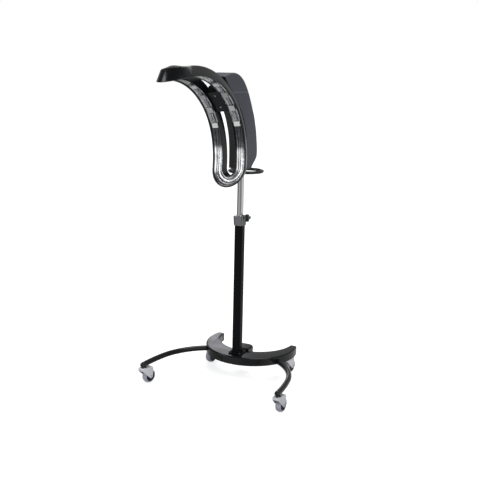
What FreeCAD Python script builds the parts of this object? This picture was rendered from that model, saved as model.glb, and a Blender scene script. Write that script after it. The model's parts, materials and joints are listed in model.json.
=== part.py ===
import FreeCAD, Part
import Sketcher
import math
import os

# Hair color processor on a wheeled stand. Millimetres, +Z up, client side towards -Y.
# Origin: on the floor, on the vertical axis of the column and mast.

V = FreeCAD.Vector
Rot = FreeCAD.Rotation
Place = FreeCAD.Placement
X_AXIS, Y_AXIS, Z_AXIS = V(1, 0, 0), V(0, 1, 0), V(0, 0, 1)

doc = FreeCAD.newDocument("HairColorProcessor")

# ---------------------------------------------------------------- sizes
SIZES = {
    # crescent base
    "base_outer_radius": 223.0, "base_outer_centre": 161.0, "base_inner_radius": 181.0,
    "base_inner_centre": 223.0, "base_tip_y": 225.0, "base_underside": 84.0,
    "base_thickness": 38.0, "base_edge_round": 6.0, "boss_half_width": 42.0,
    "boss_rear_y": 112.0, "boss_front_y": 38.0, "boss_rise": 12.0,
    # legs
    "leg_radius": 12.5, "leg_wall": 2.0, "leg_height": 95.0, "leg_pivot_x": 337.0,
    "leg_pivot_y": -290.0, "rear_pivot_x": 194.0, "rear_pivot_y": 150.0,
    # casters
    "wheel_radius": 33.0, "tyre_width": 25.0, "caster_trail": 34.0, "fork_width": 34.0,
    "fork_slot": 29.0, "fork_top": 79.3, "stem_radius": 5.0, "stem_length": 19.0,
    "axle_radius": 3.0, "tread_depth": 8.0,
    # column, collar and clamp
    "column_width": 39.0, "column_wall": 3.0, "column_base": 122.3, "column_height": 615.0,
    "foot_width": 66.0, "foot_plate": 5.0, "foot_neck": 14.0,
    "collar_base": 738.0, "collar_height": 44.0, "collar_low_width": 46.0,
    "collar_top_width": 51.0, "clamp_height": 775.0, "stud_radius": 4.0,
    "knob_thickness": 14.0, "knob_start": 33.0, "bush_bottom": 655.0, "bush_wall": 1.2,
    # mast
    "mast_radius": 15.0, "mast_wall": 2.0, "mast_bottom": 450.0, "mast_top": 1048.0,
    "plug_height": 13.7, "plug_radius": 16.1, "plug_neck": 18.0, "cord_radius": 4.0,
    # handle
    "handle_radius": 75.0, "handle_bar": 7.0, "handle_height": 981.5, "handle_centre": 52.0,
    "socket_bottom": 971.0, "socket_top": 1062.0, "socket_radius": 19.0, "socket_flange": 22.0,
    # head housing
    "housing_width": 90.0, "housing_wall": 3.2, "housing_round": 8.0, "panel_width": 70.0,
    "panel_rise": 5.0,
    # ring
    "hub_forward": 238.9, "hub_height": 1293.6, "hub_tilt": 39.4, "ring_turn": 8.5,
    "ring_half_length": 376.0, "lip_half_width": 84.4, "opening_half": 32.0,
    "ring_depth": 43.0, "end_rake": 12.0, "shaft_radius": 8.0, "shaft_length": 84.0,
    "heater_radius": 4.0,
}

sheet = doc.addObject("Spreadsheet::Sheet", "Sizes")
for row, (alias, value) in enumerate(SIZES.items(), start=1):
    sheet.set("A%d" % row, alias)
    sheet.set("B%d" % row, str(value))
    sheet.setAlias("B%d" % row, alias)
doc.recompute()
S = SIZES
GAP = 0.3            # clearance between separate pieces that lie against each other
FIT = 0.05           # radial running clearance
PARTS = []           # finished sub-parts, in the order they are exported


# ---------------------------------------------------------------- helpers
def bind(obj, prop, value):
    """Set a property from a number, or bind it to an expression on the sheet."""
    if isinstance(value, str):
        obj.setExpression(prop, value)
    else:
        setattr(obj, prop, value)


def keep(obj, label):
    """List a finished sub-part under its node name."""
    obj.Label = label
    PARTS.append(obj)
    return obj


def new_body(name):
    return doc.addObject("PartDesign::Body", name)


def new_sketch(body, role, offset=0.0):
    """A sketch on one of the body's own origin planes."""
    sketch = body.newObject("Sketcher::SketchObject", body.Name + "_sketch")
    plane = [f for f in body.Origin.OriginFeatures if f.Role == role][0]
    sketch.AttachmentSupport = [(plane, "")]
    sketch.MapMode = "FlatFace"
    sketch.AttachmentOffset = Place(V(0, 0, offset), Rot())
    return sketch


def outline(sketch, items):
    """Closed outline: (x, y) is a line end, (mx, my, x, y) an arc through m,
    a list of points is a smooth curve that ends on its last point."""
    start = items[0]
    here = V(start[0], start[1], 0)
    first = here
    for item in list(items[1:]) + [start]:
        if isinstance(item, list):
            points = [here] + [V(p[0], p[1], 0) for p in item]
            curve = Part.BSplineCurve()
            curve.interpolate(points)
            sketch.addGeometry(curve, False)
            here = points[-1]
        elif len(item) == 4:
            end = V(item[2], item[3], 0)
            sketch.addGeometry(Part.Arc(here, V(item[0], item[1], 0), end), False)
            here = end
        else:
            end = V(item[0], item[1], 0)
            if end.sub(here).Length < 1e-6:
                continue
            sketch.addGeometry(Part.LineSegment(here, end), False)
            here = end
    if here.sub(first).Length > 1e-6:
        raise ValueError("open outline in " + sketch.Name)


def circle(sketch, radius, x=0.0, y=0.0):
    """A full circle whose radius is constrained, to the sheet if text is given."""
    value = radius if not isinstance(radius, str) else 10.0
    index = sketch.addGeometry(Part.Circle(V(x, y, 0), V(0, 0, 1), value), False)
    sketch.addConstraint(Sketcher.Constraint("DistanceX", -1, 1, index, 3, x))
    sketch.addConstraint(Sketcher.Constraint("DistanceY", -1, 1, index, 3, y))
    slot = sketch.addConstraint(Sketcher.Constraint("Radius", index, value))
    if isinstance(radius, str):
        sketch.setExpression("Constraints[%d]" % slot, radius)


def feature(body, kind, sketch, length, midplane=False, reverse=False):
    feat = body.newObject("PartDesign::" + kind, body.Name + "_" + kind.lower())
    feat.Profile = sketch
    bind(feat, "Length", length)
    feat.Midplane = midplane
    feat.Reversed = reverse
    body.Tip = feat
    return feat


def rounded(half_x, half_y, radius):
    """Outline items of a rectangle with round corners."""
    k = radius * (1 - math.sqrt(0.5))
    hx, hy, r = half_x, half_y, radius
    return [(-hx + r, -hy), (hx - r, -hy), (hx - k, -hy + k, hx, -hy + r),
            (hx, hy - r), (hx - k, hy - k, hx - r, hy), (-hx + r, hy),
            (-hx + k, hy - k, -hx, hy - r), (-hx, -hy + r),
            (-hx + k, -hy + k, -hx + r, -hy)]


def turned(name, items, placement=None):
    """A body turned about its own Z axis from an outline of (radius, z)."""
    body = new_body(name)
    sketch = new_sketch(body, "XZ_Plane")
    outline(sketch, items)
    rev = body.newObject("PartDesign::Revolution", name + "_turn")
    rev.Profile = sketch
    rev.ReferenceAxis = (sketch, ["V_Axis"])
    rev.Angle = 360.0
    body.Tip = rev
    if placement is not None:
        body.Placement = placement
    return body


def tube(name, r_in, r_out, z0, z1, placement=None):
    return turned(name, [(r_in, z0), (r_out, z0), (r_out, z1), (r_in, z1)], placement)


def rod(name, radius, length, placement):
    obj = doc.addObject("Part::Cylinder", name)
    bind(obj, "Radius", radius)
    bind(obj, "Height", length)
    obj.Placement = placement
    return obj


def block(name, dx, dy, dz, placement):
    """A box centred on its placement in x and y, with its base at z = 0."""
    obj = doc.addObject("Part::Box", name)
    obj.Length, obj.Width, obj.Height = dx, dy, dz
    obj.Placement = placement * Place(V(-dx / 2.0, -dy / 2.0, 0), Rot())
    return obj


def cut(name, base, tools):
    """Cut tools from a base."""
    if len(tools) > 1:
        tool = doc.addObject("Part::Compound", name + "_tools")
        tool.Links = tools
    else:
        tool = tools[0]
    obj = doc.addObject("Part::Cut", name)
    obj.Base, obj.Tool = base, tool
    return obj


def fuse(name, shapes):
    obj = doc.addObject("Part::MultiFuse", name)
    obj.Shapes = shapes
    return obj


def group(name, shapes):
    """Identical pieces kept as separate solids in one node."""
    obj = doc.addObject("Part::Compound", name)
    obj.Links = shapes
    return obj


def aim(direction, origin):
    """Placement whose Z axis points along a direction."""
    return Place(origin, Rot(Z_AXIS, direction))


def round_edges(body, radius, wanted, name):
    """Fillet the edges of the body's tip that a test picks out."""
    doc.recompute()
    tip = body.Tip
    names = ["Edge%d" % (i + 1) for i, e in enumerate(tip.Shape.Edges) if wanted(e)]
    fillet = body.newObject("PartDesign::Fillet", name)
    fillet.Base = (tip, names)
    bind(fillet, "Radius", radius)
    body.Tip = fillet
    return fillet


# ---------------------------------------------------------------- crescent base
def arc_items(cx, cy, radius, start, end):
    """Arc item from the current point to the end angle, in degrees."""
    mid = math.radians((start + end) / 2.0)
    last = math.radians(end)
    return (cx + radius * math.cos(mid), cy + radius * math.sin(mid),
            cx + radius * math.cos(last), cy + radius * math.sin(last))


base_top = S["base_underside"] + S["base_thickness"]
boss_top = base_top + S["boss_rise"]
outer_rise = math.degrees(math.asin((S["base_tip_y"] - S["base_outer_centre"])
                                    / S["base_outer_radius"]))
inner_rise = math.degrees(math.asin((S["base_tip_y"] - S["base_inner_centre"])
                                    / S["base_inner_radius"]))
tip_out = S["base_outer_radius"] * math.cos(math.radians(outer_rise))
tip_in = S["base_inner_radius"] * math.cos(math.radians(inner_rise))

crescent = new_body("crescent")
sk = new_sketch(crescent, "XY_Plane", S["base_underside"])
outline(sk, [
    (-tip_out, S["base_tip_y"]),
    arc_items(0, S["base_outer_centre"], S["base_outer_radius"], 180 - outer_rise, 360 + outer_rise),
    (tip_in, S["base_tip_y"]),
    arc_items(0, S["base_inner_centre"], S["base_inner_radius"], inner_rise, -180 - inner_rise),
])
feature(crescent, "Pad", sk, "Sizes.base_thickness")
round_edges(crescent, 9.0, lambda e: abs(e.BoundBox.XLength) < 0.1 and abs(e.BoundBox.YLength) < 0.1,
            "crescent_corners")
round_edges(crescent, "Sizes.base_edge_round",
            lambda e: e.BoundBox.ZLength < 0.01 and abs(e.BoundBox.ZMin - base_top) < 0.01,
            "crescent_shoulder")
sk = new_sketch(crescent, "XY_Plane", S["base_underside"])
boss_w, boss_y, corner_r = S["boss_half_width"], S["boss_rear_y"], 30.0
lean = corner_r * (1 - math.sqrt(0.5))
outline(sk, [(-boss_w, S["boss_front_y"]), (boss_w, S["boss_front_y"]), (boss_w, boss_y - corner_r),
             (boss_w - lean, boss_y - lean, boss_w - corner_r, boss_y), (corner_r - boss_w, boss_y),
             (lean - boss_w, boss_y - lean, -boss_w, boss_y - corner_r)])
feature(crescent, "Pad", sk, "Sizes.base_thickness + Sizes.boss_rise")
round_edges(crescent, 9.0, lambda e: e.BoundBox.ZLength < 0.01 and abs(e.BoundBox.ZMin - boss_top) < 0.01,
            "boss_round")

# ---------------------------------------------------------------- legs
LEG_ROOT, LEG_KNEE = V(200, 42, 0), V(276, -37, 0)
LEG_BEND, LEG_END = V(322, -150, 0), V(336.9, -278.6, 0)
LEG_TUCK = 50.0      # straight length inside the crescent


def tangent_arc(start, direction, end):
    """Arc that leaves a point in a direction and ends at another point, in a level plane."""
    chord = end.sub(start)
    across = V(-direction.y, direction.x, 0)
    radius = chord.dot(chord) / (2.0 * chord.dot(across))
    centre = start + across * radius
    middle = (start + end) * 0.5 - centre
    return Part.Arc(start, centre + middle.normalize() * abs(radius), end)


def swept_leg(name, side, radius):
    """Round bar along the leg's centre line; side is +1 or -1."""
    main = Part.Arc(LEG_ROOT, LEG_KNEE, LEG_BEND).toShape()
    leave = main.tangentAt(main.LastParameter)
    enter = main.tangentAt(main.FirstParameter)
    lead = Part.LineSegment(LEG_ROOT - enter * LEG_TUCK, LEG_ROOT).toShape()
    tail = tangent_arc(LEG_BEND, leave, LEG_END).toShape()
    line = Part.Wire([lead, main, tail])
    if side < 0:
        line = line.mirror(V(0, 0, 0), X_AXIS)
    line.translate(V(0, 0, S["leg_height"]))
    spine = doc.addObject("Part::Feature", name + "_spine")
    spine.Shape = line
    ring = doc.addObject("Part::Circle", name + "_section")
    ring.Radius = radius
    ring.Placement = aim(V(side * enter.x, enter.y, 0),
                         V(side * (LEG_ROOT.x - enter.x * LEG_TUCK), LEG_ROOT.y - enter.y * LEG_TUCK,
                           S["leg_height"]))
    sweep = doc.addObject("Part::Sweep", name)
    sweep.Sections = [ring]
    sweep.Spine = (spine, ["Edge1", "Edge2", "Edge3"])
    sweep.Solid = True
    sweep.Frenet = False
    return sweep


sides = (("right", 1), ("left", -1))
sockets = [swept_leg("leg_socket_" + n, k, S["leg_radius"] + GAP) for n, k in sides]
stem_bores = [rod("rear_bore_" + n, S["stem_radius"] + FIT, 30.0,
                  Place(V(k * S["rear_pivot_x"], S["rear_pivot_y"], 74), Rot())) for n, k in sides]
keep(cut("base_crescent", crescent, sockets + stem_bores), "base_crescent")

cap_list = []
for n, k in sides:
    outer = swept_leg("leg_bar_" + n, k, S["leg_radius"])
    inner = swept_leg("leg_hollow_" + n, k, S["leg_radius"] - S["leg_wall"])
    keep(cut("leg_" + n, outer, [inner]), "leg_" + n)
    tip = Place(V(k * S["leg_pivot_x"], -280.0, S["leg_height"]), Rot(X_AXIS, 90))
    plug = turned("cap_plug_" + n, [(0, -16), (9.6, -16), (9.6, 0), (12.5, 0.0), (12.5, 15),
                                    (9.4, 23.5, 0, 26.5)], tip)
    bore = rod("cap_bore_" + n, S["stem_radius"] + FIT, 30.0,
               Place(V(k * S["leg_pivot_x"], S["leg_pivot_y"], 71), Rot()))
    cap_list.append(cut("leg_cap_" + n, plug, [bore]))
keep(group("leg_caps", cap_list), "leg_caps")

# ---------------------------------------------------------------- casters
PIVOTS = [
    ("front_right", S["leg_pivot_x"], S["leg_pivot_y"], 86.0, 82.2),
    ("front_left", -S["leg_pivot_x"], S["leg_pivot_y"], 78.0, 82.2),
    ("rear_right", S["rear_pivot_x"], S["rear_pivot_y"], 84.0, 83.7),
    ("rear_left", -S["rear_pivot_x"], S["rear_pivot_y"], 260.0, 83.7),
]
cups = []
trail, wheel_r = S["caster_trail"], S["wheel_radius"]
for corner, px, py, heading, cup_top in PIVOTS:
    swivel = Place(V(px, py, 0), Rot(Z_AXIS, heading))
    hub = swivel * Place(V(trail, 0, wheel_r), Rot(X_AXIS, 90))
    cups.append(tube("cup_" + corner, S["stem_radius"] + GAP, 15.0, S["fork_top"] + GAP, cup_top,
                     Place(V(px, py, 0), Rot())))
    fork = new_body("fork_body_" + corner)
    sk = new_sketch(fork, "XZ_Plane")
    outline(sk, [(-17, 67), (-17, S["fork_top"] - 3), (-16.1, S["fork_top"] - 0.9, -14, S["fork_top"]),
                 (37, S["fork_top"]), (44.5, 76.2, 47.5, 69), (47, 52), (trail + 10.4, wheel_r),
                 (trail + 1.5, wheel_r - 10.4, trail - 8.6, wheel_r - 6.0), (-3, 52)])
    feature(fork, "Pad", sk, "Sizes.fork_width", True)
    sk = new_sketch(fork, "XZ_Plane")
    outline(sk, [(-30, 10), (80, 10), (80, 67), (trail + 14, 69.5), (-12, 69.5), (-30, 62)])
    feature(fork, "Pocket", sk, "Sizes.fork_slot", True)
    sk = new_sketch(fork, "XZ_Plane")
    circle(sk, S["axle_radius"] + FIT, trail, wheel_r)
    feature(fork, "Pocket", sk, 60.0, True)
    sk = new_sketch(fork, "XY_Plane", S["fork_top"] - 1.0)
    circle(sk, "Sizes.stem_radius")
    feature(fork, "Pad", sk, "Sizes.stem_length + 1")
    fork.Placement = swivel
    keep(fork, "fork_" + corner)
    face, dome = S["fork_width"] / 2.0 + GAP, S["fork_width"] / 2.0 + 2.8
    keep(turned("axle_" + corner, [(0, -dome), (3.6, -dome), (5, 1.2 - dome), (5, -face), (3, -face),
                                   (3, face), (5, face), (5, dome - 1.2), (3.6, dome), (0, dome)], hub),
         "axle_" + corner)
    half = S["tyre_width"] / 2.0
    rim, shoulder = wheel_r - S["tread_depth"], wheel_r - 3.2
    axle_bore = S["axle_radius"] + FIT
    keep(turned("tyre_" + corner, [(rim + GAP, -half), (shoulder, -half), (wheel_r, 0, shoulder, half),
                                   (rim + GAP, half)], hub), "tyre_" + corner)
    keep(turned("core_" + corner, [(axle_bore, 0.6 - half), (9.0, 0.6 - half), (9.0, 3.0 - half),
                                   (rim - 3, 3.0 - half), (rim - 3, 0.3 - half), (rim, 0.3 - half),
                                   (rim, half - 0.3), (rim - 3, half - 0.3), (rim - 3, half - 3.0),
                                   (9.0, half - 3.0), (9.0, half - 0.6), (axle_bore, half - 0.6)], hub),
         "core_" + corner)
keep(group("caster_cups", cups), "caster_cups")

# ---------------------------------------------------------------- column and collar
half_col = S["column_width"] / 2.0
column = new_body("column")
sk = new_sketch(column, "XY_Plane", S["column_base"])
outline(sk, rounded(half_col, half_col, 8.0))
feature(column, "Pad", sk, "Sizes.column_height")
hollow = half_col - S["column_wall"]
sk = new_sketch(column, "XY_Plane", S["column_base"])
outline(sk, rounded(hollow, hollow, 5.0))
feature(column, "Pocket", sk, "Sizes.column_height", False, True)
gland_hole = rod("gland_hole", 7.3, 14.0, aim(Y_AXIS, V(0, 12, 178)))
keep(cut("column_tube", column, [gland_hole]), "column_tube")

foot = new_body("foot")
hf = S["foot_width"] / 2.0
sk = new_sketch(foot, "XY_Plane", S["column_base"])
outline(sk, rounded(hf, hf, 12.0))
feature(foot, "Pad", sk, "Sizes.foot_plate")
sk = new_sketch(foot, "XY_Plane", S["column_base"])
outline(sk, rounded(half_col + 4.5, half_col + 4.5, 11.0))
feature(foot, "Pad", sk, "Sizes.foot_neck")
sk = new_sketch(foot, "XY_Plane", S["column_base"])
outline(sk, rounded(half_col + GAP, half_col + GAP, 8.3))
feature(foot, "Pocket", sk, "Sizes.foot_neck + 1", False, True)
bolt_spots = [V(sx * 27, sy * 27, S["column_base"]) for sx in (-1, 1) for sy in (-1, 1)]
bolt_holes = [rod("foot_hole%d" % i, 2.8, 12.0, Place(p - V(0, 0, 3), Rot()))
              for i, p in enumerate(bolt_spots)]
keep(cut("column_foot", foot, bolt_holes), "column_foot")
bolts = []
for i, spot in enumerate(bolt_spots):
    bolts.append(turned("foot_bolt%d" % i, [(0, -12), (2.5, -12), (2.5, 5.3), (4.6, 5.3), (4.6, 7.2),
                                            (3.4, 8.6, 1.9, 9.0), (1.9, 7.4), (0, 7.4)],
                        Place(spot, Rot())))
keep(group("foot_bolts", bolts), "foot_bolts")

collar = new_body("collar")
sk = new_sketch(collar, "XY_Plane", S["collar_base"])
outline(sk, rounded(S["collar_low_width"] / 2.0, S["collar_low_width"] / 2.0, 9.0))
flare = feature(collar, "Pad", sk, "Sizes.collar_height")
flare.setExpression("TaperAngle", "atan((Sizes.collar_top_width - Sizes.collar_low_width)"
                                  " / 2 / Sizes.collar_height)")
bush_out = S["mast_radius"] + S["bush_wall"]
sk = new_sketch(collar, "XY_Plane", S["collar_base"] - 1.0)
circle(sk, bush_out + GAP)
feature(collar, "Pocket", sk, "Sizes.collar_height + 4", False, True)
stud_axis = Place(V(10, 0, S["clamp_height"]), Rot(Y_AXIS, 90))
stud_bore = rod("stud_bore", S["stud_radius"] + FIT, 30.0, stud_axis)
keep(cut("clamp_collar", collar, [stud_bore]), "clamp_collar")
bush = tube("bush", S["mast_radius"] + FIT, bush_out, S["bush_bottom"],
            S["collar_base"] + S["collar_height"])
bush_bore = rod("bush_bore", S["stud_radius"] + GAP, 20.0, stud_axis)
keep(cut("collar_bush", bush, [bush_bore]), "collar_bush")

knob_axis = Place(V(0, 0, S["clamp_height"]), Rot(Y_AXIS, 90))
keep(turned("stud", [(0, 15.4), (3.2, 15.4), (4, 16.2), (4, 41), (0, 41)], knob_axis), "clamp_stud")
knob = new_body("knob")
sk = new_sketch(knob, "XY_Plane", S["knob_start"])
lobe, reach, valley = 6.5, 12.5, 9.5
items = []
for i in range(3):
    mid = math.radians(90 + 120 * i)
    tip_point = (math.cos(mid) * (reach + lobe), math.sin(mid) * (reach + lobe))
    side_a = (math.cos(mid) * reach + math.sin(mid) * lobe, math.sin(mid) * reach - math.cos(mid) * lobe)
    side_b = (math.cos(mid) * reach - math.sin(mid) * lobe, math.sin(mid) * reach + math.cos(mid) * lobe)
    dip = math.radians(90 + 120 * i - 60)
    dip_point = (math.cos(dip) * valley, math.sin(dip) * valley)
    items += [dip_point + side_a, tip_point + side_b]
outline(sk, [items[-1][2:]] + items)
feature(knob, "Pad", sk, "Sizes.knob_thickness")
sk = new_sketch(knob, "XY_Plane", S["knob_start"] - 1)
circle(sk, S["stud_radius"] + FIT)
feature(knob, "Pocket", sk, 9.4, False, True)
round_edges(knob, 2.0, lambda e: e.BoundBox.ZLength < 0.01
            and abs(e.BoundBox.ZMin - S["knob_start"] - S["knob_thickness"]) < 0.01, "knob_round")
knob.Placement = knob_axis
keep(knob, "clamp_knob")

gland_axis = aim(Y_AXIS, V(0, 0, 178))
keep(turned("gland", [(3.6, 14), (7, 14), (7, 19.8), (9.5, 19.8), (9.5, 24), (7, 25), (6, 33), (3.6, 33)],
            gland_axis), "cord_gland")

# ---------------------------------------------------------------- mast
r_out, r_in = S["mast_radius"], S["mast_radius"] - S["mast_wall"]
keep(tube("mast", r_in, r_out, S["mast_bottom"], S["mast_top"]), "mast_tube")
plug_top = S["mast_bottom"] - GAP
plug_low, plug_end = plug_top - S["plug_height"], S["mast_bottom"] + S["plug_neck"]
r_cord, r_plug, r_neck = S["cord_radius"], S["plug_radius"], r_in - 0.1
keep(turned("plug", [(r_cord, plug_low), (r_plug, plug_low), (r_plug, plug_top), (r_neck, plug_top),
                     (r_neck, plug_end), (r_cord, plug_end)]), "mast_plug")

# ---------------------------------------------------------------- handle and socket
socket_low, socket_top = S["socket_bottom"], S["socket_top"]
r_seat, r_flange, r_bore = S["socket_radius"], S["socket_flange"], r_out + FIT
keep(turned("socket", [(r_bore, socket_low), (r_flange - 2, socket_low), (r_flange, socket_low + 2),
                       (r_flange, 990), (r_seat, 994), (r_seat, socket_top), (6, socket_top),
                       (6, socket_top - 6), (r_bore, socket_top - 6)]), "mast_socket")
bar = doc.addObject("Part::Torus", "bar")
bar.setExpression("Radius1", "Sizes.handle_radius")
bar.setExpression("Radius2", "Sizes.handle_bar")
bar.Placement = Place(V(0, S["handle_centre"], S["handle_height"]), Rot())
mast_room = rod("mast_room", r_flange + GAP, 40.0, Place(V(0, 0, 960), Rot()))
keep(cut("handle", bar, [mast_room]), "handle_ring")

# ---------------------------------------------------------------- head housing
# Side outline as (distance towards the client, height).
REAR = [(-18, 1000), (-36, 1016), (-58, 1032), (-72, 1048), (-75.5, 1068), (-70, 1118), (-62, 1159),
        (-50, 1196), (-36, 1232), (-16, 1267), (5.6, 1303), (30, 1339), (60, 1373), (93, 1398),
        (127, 1412), (165, 1417.5), (215, 1412), (242, 1406.5), (255, 1402.5)]
FRONT = [(257, 1399.5), (244, 1385.5), (222, 1365), (197, 1347), (173, 1327), (146, 1304),
         (118, 1278), (93, 1250), (70, 1214), (54, 1179), (42, 1143), (35, 1100), (33, 1060), (33, 1000)]


def shifted(points, distance):
    """Points moved sideways by a distance, to the left of their direction."""
    out = []
    for i, (x, y) in enumerate(points):
        before, after = points[max(i - 1, 0)], points[min(i + 1, len(points) - 1)]
        run, rise = after[0] - before[0], after[1] - before[1]
        length = math.hypot(run, rise)
        out.append((x - distance * rise / length, y + distance * run / length))
    return out


def to_yz(points):
    """Distance towards the client becomes -Y."""
    return [(-p[0], p[1]) for p in points]


def smooth(points):
    curve = Part.BSplineCurve()
    curve.interpolate([V(0, -u, z) for u, z in points])
    return curve


def profile_pad(name, items, width):
    """Side outline in the YZ plane, padded evenly to both sides."""
    body = new_body(name)
    sketch = new_sketch(body, "YZ_Plane")
    outline(sketch, items)
    feature(body, "Pad", sketch, width, True)
    return body


wall = S["housing_wall"]
rear_yz, front_yz = to_yz(REAR), to_yz(FRONT)
hood = profile_pad("hood", [rear_yz[0], rear_yz[1:], front_yz[0], front_yz[1:]], "Sizes.housing_width")
half_w = S["housing_width"] / 2.0
round_edges(hood, "Sizes.housing_round",
            lambda e: e.BoundBox.XLength < 0.01 and e.BoundBox.ZLength > 100
            and e.BoundBox.YMax > 60, "hood_round")
ROOM_TOP, ROOM_FRONT, FLOOR_TOP = 1383.0, -330.0, 1000 + wall
rear_in = to_yz(shifted(REAR, -wall))
rear_in[0] = (rear_in[0][0] - 1.5, FLOOR_TOP)
inner_width = S["housing_width"] - 2 * wall
room = profile_pad("room", [rear_in[0], rear_in[1:-1], (-300, ROOM_TOP), (ROOM_FRONT, ROOM_TOP),
                            (ROOM_FRONT, FLOOR_TOP)], inner_width)
mast_hole = rod("mast_hole", S["socket_radius"] + GAP, 20.0, Place(V(0, 0, 992), Rot()))

PLATE = [(255.4, 1397.3)] + FRONT[1:]
front_in = to_yz(shifted(PLATE, 3.0))
front_face = to_yz(PLATE)
plate_foot = FLOOR_TOP + GAP
front_plate = profile_pad("front_plate", [front_face[0], front_face[1:-1] + [(-33.0, plate_foot)],
                                          (front_in[-1][0], plate_foot),
                                          list(reversed(front_in[:-1]))], inner_width - 2 * GAP)

# Hub axis frame: X across, Y up along the ring, Z along the hub axis towards the client.
HUB = Place(V(0, -S["hub_forward"], S["hub_height"]), Rot(X_AXIS, 90 + S["hub_tilt"]))
RING = HUB * Place(V(0, 0, 0), Rot(Z_AXIS, S["ring_turn"]))
shaft_port = rod("shaft_port", 12.0, 30.0, HUB * Place(V(0, 0, -85), Rot()))
keep(cut("front_panel", front_plate, [shaft_port]), "housing_front")

# Rear control panel, lying on the back of the housing.
rear_curve = smooth(REAR)


def rear_point(height):
    """Point on the back of the housing at a height, and its outward direction."""
    low_p, high_p = rear_curve.FirstParameter, rear_curve.LastParameter
    for _ in range(40):
        mid_p = 0.5 * (low_p + high_p)
        if rear_curve.value(mid_p).z < height:
            low_p = mid_p
        else:
            high_p = mid_p
    along = rear_curve.tangent(low_p)[0]
    return rear_curve.value(low_p), V(0, along.z, -along.y)


def rear_strip(lift, z0, z1, steps=8):
    """Points (y, z) at a distance outside the back of the housing."""
    out = []
    for i in range(steps + 1):
        p, n = rear_point(z0 + (z1 - z0) * i / steps)
        out.append((p.y + n.y * lift, p.z + n.z * lift))
    return out


PANEL_LOW, PANEL_HIGH = 1128.0, 1338.0
near = rear_strip(GAP, PANEL_LOW, PANEL_HIGH)
far = rear_strip(S["panel_rise"], PANEL_LOW + 3, PANEL_HIGH - 3)
panel = profile_pad("panel", [near[0], near[1:], far[-1], list(reversed(far[:-1]))], "Sizes.panel_width")

BUTTONS = [("button_power", 1160.0, -18.0), ("button_mode", 1160.0, 18.0),
           ("button_time_up", 1190.0, -18.0), ("button_time_down", 1190.0, 18.0)]
panel_tools = []
ports = []


def on_rear(x, height, depth=0.0):
    """Placement on the back of the housing, Z pointing outwards."""
    p, n = rear_point(height)
    return Place(V(x, p.y - n.y * depth, p.z - n.z * depth),
                 Rot(X_AXIS, math.degrees(math.atan2(-n.y, n.z))))


CAP, STEM = 6.0, 4.0         # radii of a button and of its stem
for label, height, x in BUTTONS:
    seat = on_rear(x, height)
    panel_tools.append(rod(label + "_hole", CAP + GAP, 20.0, seat * Place(V(0, 0, -10), Rot())))
    ports.append(rod(label + "_port", STEM + 1.0, 20.0, seat * Place(V(0, 0, -12), Rot())))
    keep(turned(label + "_cap", [(0, -6.0), (STEM, -6.0), (STEM, 1.6), (CAP, 1.6), (CAP, 6.2),
                                 (4.9, 7.3, 3.0, 7.8), (0, 7.8)], seat), label)
window_seat = on_rear(0, 1262.0)
switch_seat = on_rear(0, 1222.0)
WINDOW_WIDTH, WINDOW_HEIGHT = 48.0, 36.0
panel_tools.append(block("window_hole", WINDOW_WIDTH + 2 * GAP, WINDOW_HEIGHT + 2 * GAP, 12.0,
                         window_seat * Place(V(0, 0, -1.0), Rot())))
panel_tools.append(block("switch_hole", 16.6, 16.0, 12.0, switch_seat * Place(V(0, 0, -1.0), Rot())))
ports.append(block("switch_port", 12.0, 16.0, 20.0, switch_seat * Place(V(0, 0, -12), Rot())))
keep(cut("rear_cover", panel, panel_tools), "rear_cover")
keep(cut("housing", hood, [room, mast_hole] + ports), "housing_shell")
window = block("window", WINDOW_WIDTH, WINDOW_HEIGHT, 3.4, window_seat * Place(V(0, 0, 1.4), Rot()))
keep(window, "display_window")
ROCKER_PIVOT = 3.4           # pivot pins above the back of the housing
rocker = new_body("rocker")
sk = new_sketch(rocker, "YZ_Plane")
outline(sk, [(-7.6, 2.4), (-7.6, 7.0), (0, 5.2, 7.6, 9.0), (7.6, 2.4), (4.4, 2.4), (2.6, -4.0),
             (-2.6, -4.0), (-4.4, 2.4)])
feature(rocker, "Pad", sk, 14.4, True)
sk = new_sketch(rocker, "YZ_Plane")
circle(sk, 2.0, 0.0, ROCKER_PIVOT)
feature(rocker, "Pad", sk, 15.4, True)
rocker.Placement = switch_seat * Place(V(0, 0, 0), Rot(Z_AXIS, 90))
keep(rocker, "switch_rocker")

board_low, board_high = rear_point(1150.0)[0], rear_point(1290.0)[0]
chord = board_high.sub(board_low)
board_at = Place(V(0, 0.5 * (board_low.y + board_high.y), 0.5 * (board_low.z + board_high.z)),
                 Rot(X_AXIS, math.degrees(math.atan2(chord.z, chord.y))))
keep(block("board", 74.0, 130.0, 1.6, board_at * Place(V(0, 0, 15.0), Rot())), "control_board")

# Drive inside the hood, on the hub axis.
keep(tube("bearing", S["shaft_radius"] + FIT, 16.0, -86.0, -74.5, HUB), "shaft_bearing")
gear_case = block("gear_case", 62.0, 78.0, 24.0, HUB * Place(V(0, -14, -111), Rot()))
gear_bore = rod("gear_bore", S["shaft_radius"] + FIT, 40.0, HUB * Place(V(0, 0, -115), Rot()))
keep(cut("gearbox_case", gear_case, [gear_bore]), "gearbox")
keep(turned("motor", [(0, -150), (16, -150), (18, -148), (18, -111.3), (0, -111.3)],
            HUB * Place(V(0, -35, 0), Rot())), "gear_motor")
keep(block("brushes", 30.0, 10.0, 12.0, HUB * Place(V(0, 21, -127), Rot())), "brush_block")

screws = []
for i, (sx, height) in enumerate(((-30, 1137), (30, 1137), (-30, 1328), (30, 1328))):
    screws.append(turned("cover_screw%d" % i, [(0, 5.4), (3.4, 5.4), (3.4, 6.2), (2.2, 7.2), (0, 7.2)],
                         on_rear(sx, height)))
keep(group("cover_screws", screws), "cover_screws")


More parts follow.
